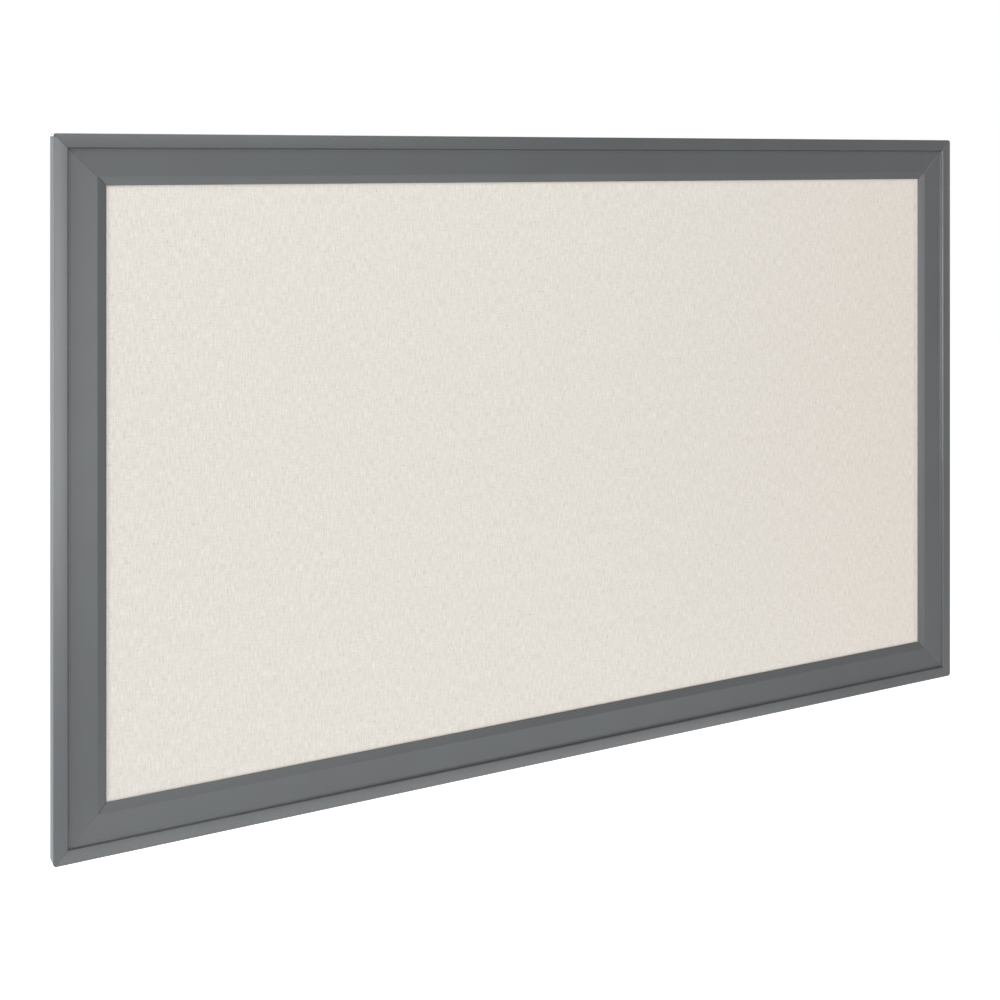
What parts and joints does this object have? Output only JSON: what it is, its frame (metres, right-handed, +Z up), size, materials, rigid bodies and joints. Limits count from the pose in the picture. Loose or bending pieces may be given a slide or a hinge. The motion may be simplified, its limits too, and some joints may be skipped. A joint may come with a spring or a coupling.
{
  "type": "framed pinboard",
  "caption": "Landscape pinboard: linen-covered tack panel in a stepped, bevelled, painted mitred frame, with D-ring hangers and wall bumpers on the back.",
  "frame": {"origin": "on the wall, midway between the two landscape hangers, at the height of their ring hinges", "axes": "+X to the right seen from the front, along the board's length; +Y into the wall; +Z up. The linen faces -Y"},
  "size_m": [1.092, 0.0242, 0.68],
  "materials": {
    "frame_paint": "satin grey paint",
    "linen": "natural woven linen",
    "fibreboard": "soft fibreboard",
    "hardboard": "smooth hardboard",
    "spring_steel": "plain",
    "zinc_plated_steel": "bright zinc plated",
    "rubber": "matt"
  },
  "bodies": {
    "board": {"top_rail": "frame_paint", "bottom_rail": "frame_paint", "left_stile": "frame_paint", "right_stile": "frame_paint", "linen_cover": "linen", "tack_core": "fibreboard", "backing_board": "hardboard", "v_nail_top_left_outer": "spring_steel", "v_nail_top_left_inner": "spring_steel", "v_nail_top_right_outer": "spring_steel", "v_nail_top_right_inner": "spring_steel", "v_nail_bottom_left_outer": "spring_steel", "v_nail_bottom_left_inner": "spring_steel", "v_nail_bottom_right_outer": "spring_steel", "v_nail_bottom_right_inner": "spring_steel", "flex_point_top_1": "spring_steel", "flex_point_top_2": "spring_steel", "flex_point_top_3": "spring_steel", "flex_point_top_4": "spring_steel", "flex_point_top_5": "spring_steel", "flex_point_bottom_1": "spring_steel", "flex_point_bottom_2": "spring_steel", "flex_point_bottom_3": "spring_steel", "flex_point_bottom_4": "spring_steel", "flex_point_bottom_5": "spring_steel", "flex_point_left_1": "spring_steel", "flex_point_left_2": "spring_steel", "flex_point_left_3": "spring_steel", "flex_point_right_1": "spring_steel", "flex_point_right_2": "spring_steel", "flex_point_right_3": "spring_steel", "landscape_hanger_left_strap": "zinc_plated_steel", "landscape_hanger_right_strap": "zinc_plated_steel", "portrait_hanger_top_strap": "zinc_plated_steel", "portrait_hanger_bottom_strap": "zinc_plated_steel", "landscape_hanger_left_screw": "zinc_plated_steel", "landscape_hanger_right_screw": "zinc_plated_steel", "portrait_hanger_top_screw": "zinc_plated_steel", "portrait_hanger_bottom_screw": "zinc_plated_steel", "bumper_top_left": "rubber", "bumper_top_right": "rubber", "bumper_bottom_left": "rubber", "bumper_bottom_right": "rubber"},
    "landscape_hanger_left_ring": {"landscape_hanger_left_ring": "zinc_plated_steel"},
    "landscape_hanger_right_ring": {"landscape_hanger_right_ring": "zinc_plated_steel"},
    "portrait_hanger_top_ring": {"portrait_hanger_top_ring": "zinc_plated_steel"},
    "portrait_hanger_bottom_ring": {"portrait_hanger_bottom_ring": "zinc_plated_steel"}
  },
  "joints": [
    {"name": "landscape_hanger_left_swing", "type": "hinge", "parent": "board", "child": "landscape_hanger_left_ring", "pos_m": [-0.5255, -0.00345, 0], "axis": [1, 0, 0], "range_deg": [0, 180]},
    {"name": "landscape_hanger_right_swing", "type": "hinge", "parent": "board", "child": "landscape_hanger_right_ring", "pos_m": [0.5255, -0.00345, 0], "axis": [1, 0, 0], "range_deg": [0, 180]},
    {"name": "portrait_hanger_top_swing", "type": "hinge", "parent": "board", "child": "portrait_hanger_top_ring", "pos_m": [-0.396, -0.00345, 0.1295], "axis": [0, 0, 1], "range_deg": [0, 180]},
    {"name": "portrait_hanger_bottom_swing", "type": "hinge", "parent": "board", "child": "portrait_hanger_bottom_ring", "pos_m": [-0.396, -0.00345, -0.5095], "axis": [0, 0, 1], "range_deg": [0, 180]}
  ]
}
